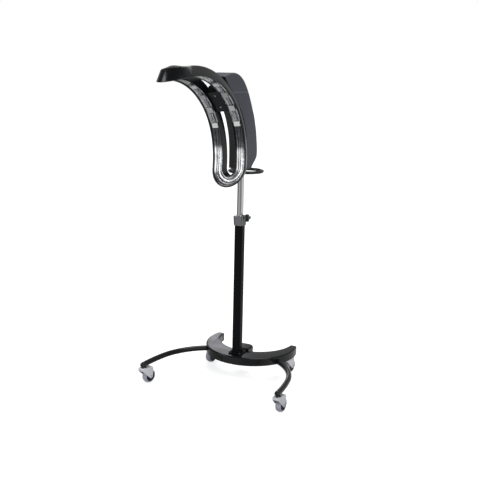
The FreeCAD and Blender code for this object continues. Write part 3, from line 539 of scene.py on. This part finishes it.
def softened(section, radius, steps=3):
    """A closed section with each corner replaced by a short curve."""
    out = []
    count = len(section)
    for i in range(count):
        here, before, after = (Vector(section[k % count]) for k in (i, i - 1, i + 1))
        reach = min(radius, (before - here).length * CORNER_SHARE, (after - here).length * CORNER_SHARE)
        start = here + (before - here).normalized() * reach
        end = here + (after - here).normalized() * reach
        for k in range(steps + 1):
            t = k / steps
            out.append(tuple(start * (1 - t) ** 2 + here * 2 * t * (1 - t) + end * t * t))
    return out


def settle(piece, body, slot, *nodes):
    """Ride a body and stand for CAD nodes; the slot is not used."""
    if nodes:
        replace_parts(piece, *nodes)
    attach(piece, body)
    return piece


def slot_of(node):
    """Material slot that the record gives a CAD node."""
    for row in frame["record"]["subparts"]:
        if row["node"] == node:
            return row["material_slot"]
    raise ValueError("no slot for " + node)


def dressed(node):
    """Merged, smooth copy of a CAD node with softened edges and its finish."""
    mesh = frame["nodes"][node].data.copy()
    work = bmesh.new()
    work.from_mesh(mesh)
    bmesh.ops.remove_doubles(work, verts=work.verts, dist=CAD_WELD)
    bmesh.ops.dissolve_limit(work, angle_limit=CAD_FLAT, verts=work.verts, edges=work.edges)
    work.to_mesh(mesh)
    work.free()
    if mesh.attributes.get("custom_normal"):
        mesh.attributes.remove(mesh.attributes["custom_normal"])
    mesh.shade_smooth()
    mesh.set_sharp_from_angle(angle=CAD_CREASE)
    slot = slot_of(node)
    mesh.materials.clear()
    mesh.materials.append(FINISH[FINISH_OF.get(node, slot)])
    piece = in_scene("dressed_" + node, mesh)
    soft = piece.modifiers.new("edge", "BEVEL")
    soft.width = SOFT_WIDTH
    soft.segments = 2
    soft.limit_method = "ANGLE"
    soft.angle_limit = SOFT_EDGE
    soft.use_clamp_overlap = True
    soft.harden_normals = False
    return settle(piece, BODY_OF[node], slot, node)


# ---------------------------------------------------------------- ring shape
LIP_BEND = 0.00393               # bend of the lip curve at the hub, in radians per mm
LIP_EASING = 2.1375e-8           # how that bend eases with the square of the distance, per mm cubed
TABLE_SPARE = 0.01               # length of the lip curve that is worked out past its end, in metres
TABLE_END = 0.001                # keeps a place just short of the table's last row

# Rows of half width, depth behind the lip and, where it isn't 0, extra depth at the ring's ends, in mm
SHELL_SECTION = (
    (84.4, 2.2), (82.0, 0.05), (77.8, 0.05), (76.2, 1.6), (76.2, 5.0), (81.0, 5.0), (64.4, 40.2, 4.0),
    (36.6, 40.2, 10.0), (34.3, 2.0), (33.6, 0.05), (32.6, 0.05), (32.0, 1.0), (34.0, 41.2, 10.0),
    (35.8, 43.0, 10.0), (63.5, 43.0, 4.0), (66.7, 40.0, 4.0))
SHEET_FLUTES = (
    (79.4, 5.6), (75.0, 5.6), (73.0, 8.2), (70.0, 10.6), (67.0, 11.4), (64.6, 10.4), (62.9, 8.5),
    (61.9, 9.6), (60.2, 11.6), (55.0, 12.0), (49.8, 11.6), (48.1, 9.6), (47.2, 8.5),
    (45.4, 10.4), (43.0, 11.4), (40.2, 10.6), (37.6, 7.6), (35.8, 3.2))
SHEET_DRAFT, SHEET_THICKNESS = 0.1, 1.2          # underside of the sheet against its face, in mm
SHELL_ROUNDING, FLUTE_ROUNDING = 0.0016, 0.0008  # in metres


def ring_matrix():
    """Place of the ring at rest: origin at the hub of the lip, X across it, Y along it, Z out of the lip."""
    size = ring_sizes()
    place = Matrix.Translation((0, -size.hub_forward, size.hub_height))
    tilt = Matrix.Rotation(math.pi / 2 + size.tilt, 4, "X")
    return place @ tilt @ Matrix.Rotation(size.turn, 4, "Z")


def lip_slope(along):
    """Slope of the lip curve at a distance from the hub, in metres."""
    mm = along / MM
    return LIP_BEND * mm - LIP_EASING * mm ** 3 / 3.0


class LipCurve:
    """Rise and advance of the lip curve, tabulated once."""

    def __init__(self, reach, steps=400):
        self.step = reach / steps
        self.rise, self.advance = [0.0], [0.0]
        for i in range(steps):
            slope = lip_slope((i + 0.5) * self.step)
            self.rise.append(self.rise[-1] + math.cos(slope) * self.step)
            self.advance.append(self.advance[-1] + math.sin(slope) * self.step)

    def at(self, along):
        """Rise and advance at a distance from the hub."""
        place = min(abs(along) / self.step, len(self.rise) - 1 - TABLE_END)
        i = int(place)
        part = place - i
        rise = self.rise[i] * (1 - part) + self.rise[i + 1] * part
        advance = self.advance[i] * (1 - part) + self.advance[i + 1] * part
        return math.copysign(rise, along), advance


def ring_point(curve, across, along, depth):
    """Point of the ring, square behind the lip curve by its depth."""
    rise, advance = curve.at(along)
    slope = lip_slope(along)
    return Vector((across, rise + depth * math.sin(slope), advance - depth * math.cos(slope)))


def loop_stations(rail_steps=56, turn_steps=36):
    """Stations round the ring: (side, share of the rail, angle of the turn), one of the last two None."""
    out = []
    for side in (1, -1):
        out += [(side, -1 + 2 * i / rail_steps, None) for i in range(rail_steps)]
        out += [(side, None, math.pi * j / turn_steps) for j in range(turn_steps)]
    return out


def loop_faces(rows, columns):
    """Quads over a grid of points stored row by row and closed both ways."""
    faces = []
    for i in range(rows):
        for j in range(columns):
            here, after = i * columns, (i + 1) % rows * columns
            k = (j + 1) % columns
            faces.append((here + j, here + k, after + k, after + j))
    return faces


def loop_mesh(name, section, finish, sharp=math.radians(35)):
    """Closed ring swept from a closed section of (half width, depth, crown) in metres."""
    size = ring_sizes()
    curve = LipCurve(size.half_length + TABLE_SPARE)
    place = ring_matrix()
    points = []
    stations = loop_stations()
    for side, share, turn in stations:
        for half_width, depth, crown in section:
            centre = size.half_length - size.lip_half - size.end_rake * depth / size.depth
            if turn is None:
                local = ring_point(curve, side * half_width, side * share * centre, depth)
            else:
                local = ring_point(curve, side * half_width * math.cos(turn),
                                   side * (centre + half_width * math.sin(turn)),
                                   depth + crown * math.sin(turn) ** 2)
            points.append(place @ local)
    return object_from(name, points, loop_faces(len(stations), len(section)), finish, sharp)


def in_metres(section):
    """Rows of a section in metres, each with its crown."""
    return [(w * MM, d * MM, (crown[0] if crown else 0.0) * MM) for w, d, *crown in section]


class PROCESSOR_OT_finishes(bpy.types.Operator):
    """Build the finishes from the colours"""

    bl_idname = "processor.finishes"
    bl_label = "Finishes"

    def execute(self, context):
        FINISH.clear()
        FINISH.update(build_finishes())
        return {"FINISHED"}


class PROCESSOR_OT_ring_shell(bpy.types.Operator):
    """Build the ring's moulded shell with its rolled lip"""

    bl_idname = "processor.ring_shell"
    bl_label = "Ring shell"

    def execute(self, context):
        section = softened(in_metres(SHELL_SECTION), SHELL_ROUNDING)
        settle(loop_mesh("ring_shell_skin", section, FINISH["gloss_black"]), "ring", "gloss_black",
               "ring_shell")
        return {"FINISHED"}


class PROCESSOR_OT_reflector(bpy.types.Operator):
    """Build the fluted reflector"""

    bl_idname = "processor.reflector"
    bl_label = "Reflector"

    def execute(self, context):
        under = tuple((w + SHEET_DRAFT, d + SHEET_THICKNESS) for w, d in reversed(SHEET_FLUTES))
        section = softened(in_metres(SHEET_FLUTES + under), FLUTE_ROUNDING, 2)
        settle(loop_mesh("reflector_sheet", section, FINISH["reflector"], math.radians(50)), "ring",
               "reflector", "ring_reflector")
        return {"FINISHED"}


# ---------------------------------------------------------------- heaters
TUBE_BORE = 0.8                          # bore of the quartz tube over its outside
COIL_LENGTH = 0.97                       # wire coil over the tube's length
COIL_RADIUS, WIRE_RADIUS = 0.55, 0.09    # over the tube's outside radius
COIL_TURNS = 72
TURN_SIDES, WIRE_SIDES = 14, 6


def coil_tree():
    """Geometry nodes: wire turns set along an arc, each square to it."""
    tree = bpy.data.node_groups.new("heater_coil", "GeometryNodeTree")
    sockets = {}
    for label, kind, value in (
            ("Arc radius", "NodeSocketFloat", 0.2615), ("Sweep", "NodeSocketFloat", 0.75),
            ("Coil radius", "NodeSocketFloat", 0.0022), ("Wire radius", "NodeSocketFloat", 0.00032),
            ("Turns", "NodeSocketInt", COIL_TURNS), ("Material", "NodeSocketMaterial", None)):
        socket = tree.interface.new_socket(name=label, in_out="INPUT", socket_type=kind)
        if value is not None:
            socket.default_value = value
        sockets[label] = socket.identifier
    tree.interface.new_socket(name="Geometry", in_out="OUTPUT", socket_type="NodeSocketGeometry")
    make = tree.nodes.new
    enter, leave = make("NodeGroupInput"), make("NodeGroupOutput")
    arc = make("GeometryNodeCurveArc")
    start = make("ShaderNodeMath")
    start.operation = "MULTIPLY"
    start.inputs[1].default_value = -0.5
    turns = make("GeometryNodeResampleCurve")
    square = make("GeometryNodeInputTangent")
    face = make("FunctionNodeAlignRotationToVector")
    face.axis = "Z"
    turn = make("GeometryNodeCurvePrimitiveCircle")
    turn.inputs["Resolution"].default_value = TURN_SIDES
    wire = make("GeometryNodeCurvePrimitiveCircle")
    wire.inputs["Resolution"].default_value = WIRE_SIDES
    bar = make("GeometryNodeCurveToMesh")
    spread = make("GeometryNodeInstanceOnPoints")
    real = make("GeometryNodeRealizeInstances")
    finish = make("GeometryNodeSetMaterial")
    for source, output, target, entry in (
            (enter, "Arc radius", arc, "Radius"), (enter, "Sweep", arc, "Sweep Angle"),
            (enter, "Sweep", start, 0), (start, 0, arc, "Start Angle"),
            (arc, "Curve", turns, "Curve"), (enter, "Turns", turns, "Count"),
            (square, "Tangent", face, "Vector"),
            (enter, "Coil radius", turn, "Radius"), (enter, "Wire radius", wire, "Radius"),
            (turn, "Curve", bar, "Curve"), (wire, "Curve", bar, "Profile Curve"),
            (turns, "Curve", spread, "Points"), (bar, "Mesh", spread, "Instance"),
            (face, "Rotation", spread, "Rotation"), (spread, "Instances", real, "Geometry"),
            (real, "Geometry", finish, "Geometry"), (enter, "Material", finish, "Material"),
            (finish, "Geometry", leave, "Geometry")):
        tree.links.new(source.outputs[output], target.inputs[entry])
    return tree, sockets


def baked(name, tree, values, place):
    """Mesh made by a node tree with its inputs set, moved to its place."""
    carrier = in_scene(name + "_carrier", bpy.data.meshes.new(name))
    nodes = carrier.modifiers.new("shape", "NODES")
    nodes.node_group = tree
    for identifier, value in values.items():
        nodes[identifier] = value
    graph = bpy.context.evaluated_depsgraph_get()
    graph.update()
    mesh = bpy.data.meshes.new_from_object(carrier.evaluated_get(graph))
    bpy.data.objects.remove(carrier)
    if not mesh.vertices:
        raise RuntimeError(name + " came out empty")
    mesh.transform(place)
    mesh.shade_smooth()
    return in_scene(name, mesh)


def arc_tube(name, arc_radius, sweep, outer, inner, place, finish, steps=48, sides=20):
    """Open tube round an arc in the YZ plane, with a flat rim at each end."""
    points = []
    stations = [-sweep / 2 + sweep * i / steps for i in range(steps + 1)]
    for angle in stations:
        for j in range(sides):
            spin = 2 * math.pi * j / sides
            for wall in (outer, inner):
                across = wall * math.cos(spin)
                radius = arc_radius + wall * math.sin(spin)
                points.append(place @ Vector((across, radius * math.sin(angle), -radius * math.cos(angle))))
    faces = []
    width = sides * 2
    for i in range(steps):
        for j in range(sides):
            k = (j + 1) % sides
            a, b = i * width, (i + 1) * width
            faces.append((a + 2 * j, a + 2 * k, b + 2 * k, b + 2 * j))
            faces.append((a + 2 * j + 1, b + 2 * j + 1, b + 2 * k + 1, a + 2 * k + 1))
    for row, flip in ((0, True), (steps * width, False)):
        for j in range(sides):
            k = (j + 1) % sides
            quad = (row + 2 * j, row + 2 * j + 1, row + 2 * k + 1, row + 2 * k)
            faces.append(quad if flip else quad[::-1])
    return object_from(name, points, faces, finish)


class PROCESSOR_OT_heaters(bpy.types.Operator):
    """Build the quartz tubes and the wire coils inside them"""

    bl_idname = "processor.heaters"
    bl_label = "Heaters"

    def execute(self, context):
        size = ring_sizes()
        outside = size.heater_radius
        arc_radius = size.lip_bend + size.heater_depth
        sweep = 2 * size.heater_end / size.lip_bend
        upright = Matrix.Rotation(math.pi / 2, 4, "Y")
        tree, socket = coil_tree()
        for side, label in ((1, "right"), (-1, "left")):
            place = ring_matrix() @ Matrix.Translation((side * size.heater_at, 0, size.lip_bend))
            tube = arc_tube("quartz_" + label, arc_radius, sweep, outside, outside * TUBE_BORE, place,
                            FINISH["quartz"])
            settle(tube, "ring", "quartz", "heater_" + label)
            coil = baked("coil_" + label, tree, {
                socket["Arc radius"]: arc_radius,
                socket["Sweep"]: sweep * COIL_LENGTH,
                socket["Coil radius"]: outside * COIL_RADIUS,
                socket["Wire radius"]: outside * WIRE_RADIUS,
                socket["Turns"]: COIL_TURNS,
                socket["Material"]: FINISH["coil_wire"]}, place @ upright)
            settle(coil, "ring", "clip_steel")
        return {"FINISHED"}


class PROCESSOR_OT_plain_parts(bpy.types.Operator):
    """Dress the rest of the machine part by part"""

    bl_idname = "processor.plain_parts"
    bl_label = "Other parts"

    def execute(self, context):
        done = {n for o in bpy.context.scene.objects for n in o.get("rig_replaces", [])}
        for node in sorted(frame["nodes"]):
            if node not in done:
                dressed(node)
        return {"FINISHED"}


# ---------------------------------------------------------------- stage
WHITE = (1.0, 1.0, 1.0)
DIM_WAY, WINDOW_WAY = (-0.33, -0.94, 0.0), (0.70, -0.66, 0.26)   # towards the dim side and one more window
DIM_TURN, DIM_LEVEL = (-0.30, 0.30), 0.05        # lean to the dim side where it starts and is full
WINDOW_TURN = (0.78, 0.98)                       # lean to a window where it starts and is full
ROOM_COLOUR, ROOM_LEVEL = (0.62, 0.64, 0.67), 0.7        # light of the room on surfaces
ROOM_BRIGHT, ROOM_WINDOWS = 0.36, ((DIM_WAY, 0.30), (WINDOW_WAY, 1.5))   # the room in reflections
FLOOR_BRIGHT, FLOOR_WINDOWS = 0.62, ((DIM_WAY, 0.32),)   # the floor in reflections
FLOOR_HALF = 30.0
FLOOR_COLOUR, FLOOR_MIRRORED = (0.5, 0.5, 0.5), (0.14, 0.14, 0.14)
FLOOR_FADE = (0.6, 2.2), (0.74, 1.0)     # distances from the column, and how white the floor is there
FLOOR_GLOW = (0.9, 1.8), (0.20, 0.0)     # distances, and what reflections of the floor gain there
SENSOR_WIDTH = 36.0

# Name, place, target, size, power and colour
LAMPS = (
    ("key", (2.6, -2.4, 3.2), (0, 0, 0.9), (1.6, 1.6), 75, WHITE),
    ("fill", (-3.0, -2.2, 2.0), (0, 0, 0.8), (1.2, 2.4), 32, WHITE),
    ("top", (0.2, 0.8, 3.6), (0, -0.1, 0.8), (2.4, 1.2), 50, WHITE),
    ("rim", (-1.75, 2.9, 1.2), (-0.15, 0.15, 0.2), (0.6, 0.9), 3.0, (0.93, 0.93, 1.0)))


def area_light(name, place, target, size, power, colour):
    """A soft rectangular lamp aimed at a point."""
    data = bpy.data.lights.new(name, "AREA")
    data.shape = "RECTANGLE"
    data.size, data.size_y = size
    data.energy = power
    data.color = colour
    lamp = in_scene(name, data)
    lamp.location = place
    lamp.rotation_euler = (Vector(target) - Vector(place)).to_track_quat("-Z", "Y").to_euler()
    return lamp


def leaning(tree, aim, way, turn, result):
    """Value that changes as a direction leans towards a way."""
    lean = tree.nodes.new("ShaderNodeVectorMath")
    lean.operation = "DOT_PRODUCT"
    lean.inputs[1].default_value = way
    tree.links.new(aim, lean.inputs[0])
    return mapped(tree, lean.outputs["Value"], turn, result, smooth=True)


def dim_side(tree, place, bright, windows):
    """Brightness in reflections: bright on one side of the room, dim with soft windows on the other."""
    aim = tree.nodes.new("ShaderNodeVectorMath")
    aim.operation = "NORMALIZE"
    tree.links.new(place, aim.inputs[0])
    total = leaning(tree, aim.outputs["Vector"], DIM_WAY, DIM_TURN, (bright, DIM_LEVEL))
    for way, glow in windows:
        window = leaning(tree, aim.outputs["Vector"], way, WINDOW_TURN, (0.0, glow))
        total = computed(tree, "ADD", total, window)
    return total


def studio_world():
    """White to the camera; in reflections a room that is lighter on one side than on the other."""
    world = bpy.data.worlds.new("studio")
    world.use_nodes = True
    tree = world.node_tree
    tree.nodes.clear()
    out = tree.nodes.new("ShaderNodeOutputWorld")
    seen = tree.nodes.new("ShaderNodeBackground")
    seen.inputs["Color"].default_value = rgba(WHITE)
    room = tree.nodes.new("ShaderNodeBackground")
    room.inputs["Color"].default_value = rgba(ROOM_COLOUR)
    room.inputs["Strength"].default_value = ROOM_LEVEL
    path = tree.nodes.new("ShaderNodeLightPath")
    camera, glossy, clear = (path.outputs["Is " + kind + " Ray"]
                             for kind in ("Camera", "Glossy", "Transmission"))
    coords = tree.nodes.new("ShaderNodeTexCoord")
    glow = tree.nodes.new("ShaderNodeMix")
    glow.data_type = "FLOAT"
    glow.inputs["B"].default_value = 1.0
    tree.links.new(camera, glow.inputs["Factor"])
    tree.links.new(dim_side(tree, coords.outputs["Generated"], ROOM_BRIGHT, ROOM_WINDOWS), glow.inputs["A"])
    tree.links.new(glow.outputs["Result"], seen.inputs["Strength"])
    mix = tree.nodes.new("ShaderNodeMixShader")
    shows = computed(tree, "MAXIMUM", computed(tree, "MAXIMUM", camera, glossy), clear)
    tree.links.new(shows, mix.inputs["Fac"])
    tree.links.new(room.outputs[0], mix.inputs[1])
    tree.links.new(seen.outputs[0], mix.inputs[2])
    tree.links.new(mix.outputs[0], out.inputs["Surface"])
    bpy.context.scene.world = world


def floor_material():
    """Pale floor that is white to the camera and keeps the shadow, and dimmer in reflections."""
    made, tree, shader, at = material("pale_floor")
    shader.inputs["Roughness"].default_value = 0.6
    shader.inputs["Emission Color"].default_value = rgba(WHITE)
    path = tree.nodes.new("ShaderNodeLightPath")
    camera, glossy = path.outputs["Is Camera Ray"], path.outputs["Is Glossy Ray"]
    reach = tree.nodes.new("ShaderNodeVectorMath")
    reach.operation = "LENGTH"
    tree.links.new(at, reach.inputs[0])
    around = computed(tree, "ADD", mapped(tree, reach.outputs["Value"], *FLOOR_GLOW),
                      dim_side(tree, at, FLOOR_BRIGHT, FLOOR_WINDOWS))
    shows = computed(tree, "MAXIMUM", camera, computed(tree, "MULTIPLY", glossy, around))
    lift = computed(tree, "MULTIPLY", shows, mapped(tree, reach.outputs["Value"], *FLOOR_FADE))
    tree.links.new(lift, shader.inputs["Emission Strength"])
    colour_between(tree, glossy, FLOOR_COLOUR, FLOOR_MIRRORED, shader.inputs["Base Color"])
    return made


def studio_camera(stage):
    """Camera round the column, looking past it, from its azimuth, pitch and roll."""
    data = bpy.data.cameras.new("camera")
    data.sensor_fit = "HORIZONTAL"
    data.sensor_width = SENSOR_WIDTH
    data.lens = stage.lens
    camera = in_scene("camera", data)
    a, p, r = stage.azimuth, stage.pitch, stage.roll
    ahead = Vector((-math.sin(a) * math.cos(p), math.cos(a) * math.cos(p), -math.sin(p)))
    right = Vector((math.cos(a), math.sin(a), 0))
    up = right.cross(ahead)
    side = right * math.cos(r) + up * math.sin(r)
    top = up * math.cos(r) - right * math.sin(r)
    place = Vector((stage.distance * math.sin(a), -stage.distance * math.cos(a), stage.height))
    camera.matrix_world = Matrix((
        (side.x, top.x, -ahead.x, place.x), (side.y, top.y, -ahead.y, place.y),
        (side.z, top.z, -ahead.z, place.z), (0, 0, 0, 1)))
    return camera


class PROCESSOR_OT_stage(bpy.types.Operator):
    """Set the floor, the lights and the camera"""

    bl_idname = "processor.stage"
    bl_label = "Stage"

    def execute(self, context):
        half = FLOOR_HALF
        floor = object_from("studio_floor", [(-half, -half, 0), (half, -half, 0), (half, half, 0),
                                             (-half, half, 0)], [(0, 1, 2, 3)], floor_material())
        studio_world()
        lamps = {row[0]: area_light(*row) for row in LAMPS}
        lamps["key"].visible_glossy = False
        context.scene.view_settings.view_transform = "Standard"
        context.scene.camera = studio_camera(context.scene.processor_stage)
        return {"FINISHED"}


class PROCESSOR_PT_panel(bpy.types.Panel):
    """Steps that dress the processor"""

    bl_idname = "PROCESSOR_PT_panel"
    bl_label = "Processor"
    bl_space_type = "VIEW_3D"
    bl_region_type = "UI"
    bl_category = "Processor"

    def draw(self, context):
        for step in STEPS:
            self.layout.operator(step.bl_idname)


STEPS = (PROCESSOR_OT_finishes, PROCESSOR_OT_ring_shell, PROCESSOR_OT_reflector, PROCESSOR_OT_heaters,
         PROCESSOR_OT_plain_parts, PROCESSOR_OT_stage)
GROUPS_OF_SETTINGS = (("processor_ring", RingSizes), ("processor_finish", Finishes),
                      ("processor_stage", StageSizes))


def register():
    for name, kind in GROUPS_OF_SETTINGS:
        bpy.utils.register_class(kind)
        setattr(bpy.types.Scene, name, bpy.props.PointerProperty(type=kind))
    for step in STEPS:
        bpy.utils.register_class(step)
    bpy.utils.register_class(PROCESSOR_PT_panel)


def unregister():
    bpy.utils.unregister_class(PROCESSOR_PT_panel)
    for step in reversed(STEPS):
        bpy.utils.unregister_class(step)
    for name, kind in reversed(GROUPS_OF_SETTINGS):
        delattr(bpy.types.Scene, name)
        bpy.utils.unregister_class(kind)


def main():
    register()
    for step in STEPS:
        area, verb = step.bl_idname.split(".")
        getattr(getattr(bpy.ops, area), verb)()


if __name__ == "__main__":
    main()
